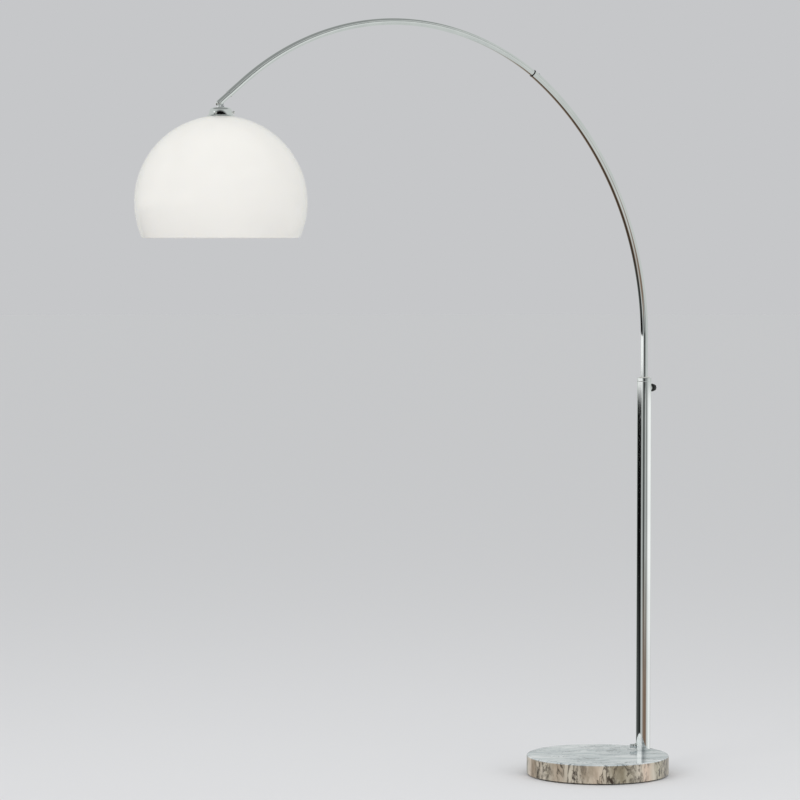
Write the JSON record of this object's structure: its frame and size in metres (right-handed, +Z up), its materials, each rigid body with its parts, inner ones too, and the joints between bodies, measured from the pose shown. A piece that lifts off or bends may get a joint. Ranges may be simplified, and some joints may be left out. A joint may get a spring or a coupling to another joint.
{
  "type": "arc floor lamp",
  "caption": "Arc floor lamp: offset upright on a round stone base, height-adjustable swivelling bent arm with a hand clamp, tilting dome shade.",
  "frame": {"origin": "centre of the base's underside, on the surface that the lamp stands on", "axes": "+Z up, -X the way the arm reaches, +Y to the side"},
  "size_m": [1.4601, 0.3998, 1.862],
  "materials": {
    "chrome_plate": "bright polished plating on steel tube",
    "marble": "polished top with grey and olive veins, honed side",
    "foot_rubber": "matt foam rubber",
    "zinc_steel": "zinc-plated steel",
    "spring_steel": "dark spring steel",
    "clear_plastic": "clear soft plastic",
    "white_nylon": "natural nylon",
    "black_plastic": "moulded black plastic",
    "black_rubber": "matt rubber",
    "opal_acrylic": "warm white opal acrylic, glossy outside",
    "turned_aluminium": "turned, bright",
    "holder_ceramic": "unglazed white ceramic",
    "socket_brass": "pressed bright brass",
    "bulb_plastic": "white moulded plastic",
    "bulb_opal": "opal polycarbonate",
    "lead_sheath": "pale clear-grey PVC sheath"
  },
  "bodies": {
    "stand": {"foot_pad": "foot_rubber", "marble_base": "marble", "base_washer": "zinc_steel", "base_bolt": "zinc_steel", "foot_plug": "zinc_steel", "pole_tube": "chrome_plate", "cable_outlet": "chrome_plate", "outlet_bush": "clear_plastic", "pole_collar": "chrome_plate", "collar_liner": "white_nylon", "clamp_bush": "chrome_plate", "pole_lead": "lead_sheath"},
    "clamp_slug": {"clamp_shoe": "white_nylon"},
    "clamp_handle": {"clamp_screw": "zinc_steel", "clamp_knob": "black_plastic"},
    "arm_runner": {"arm_glide": "white_nylon"},
    "arm": {"glide_clip": "spring_steel", "lower_arc_tube": "chrome_plate", "joint_ring": "black_rubber", "joint_screw": "spring_steel", "upper_arc_tube": "chrome_plate", "arm_end_fitting": "chrome_plate", "pivot_screw": "chrome_plate", "pivot_nut": "chrome_plate", "arm_lead": "lead_sheath"},
    "shade": {"shade_hook": "chrome_plate", "hook_nut": "zinc_steel", "shade_cap": "chrome_plate", "gallery_screws": "chrome_plate", "cable_nipple": "zinc_steel", "nipple_bush": "clear_plastic", "nipple_nuts": "zinc_steel", "shade_neck": "chrome_plate", "lamp_shade": "opal_acrylic", "shade_gasket": "black_rubber", "shade_ring_nut": "turned_aluminium", "holder_cover": "black_plastic", "holder_body": "black_plastic", "holder_insert": "holder_ceramic", "socket_sleeve": "socket_brass", "socket_contact": "socket_brass", "bulb_cap": "turned_aluminium", "bulb_housing": "bulb_plastic", "led_board": "turned_aluminium", "bulb_globe": "bulb_opal", "tip_lead": "lead_sheath", "shade_lead": "lead_sheath"}
  },
  "joints": [
    {"name": "arm_height", "type": "slide", "parent": "stand", "child": "arm_runner", "axis": [0, 0, 1], "range_m": [-0.093, 0.25], "deforming": ["pole_lead"]},
    {"name": "arm_swivel", "type": "hinge", "parent": "arm_runner", "child": "arm", "pos_m": [0.142, 0, 1], "axis": [0, 0, 1], "range_deg": [-170, 170]},
    {"name": "shade_tilt", "type": "hinge", "parent": "arm", "child": "shade", "pos_m": [-1.08761, 0, 1.64807], "axis": [0, 1, 0], "range_deg": [-25, 25], "deforming": ["tip_lead"]},
    {"name": "clamp_travel", "type": "slide", "parent": "stand", "child": "clamp_slug", "axis": [1, 0, 0], "range_m": [0, 0.0025]},
    {"name": "clamp_turn", "type": "hinge", "parent": "clamp_slug", "child": "clamp_handle", "pos_m": [0.16, 0, 0.9645], "axis": [1, 0, 0], "range_deg": [0, 720]}
  ],
  "couplings": [
    {"joint": "clamp_turn", "follows": "clamp_travel", "rad_per_m": 5026.5}
  ]
}
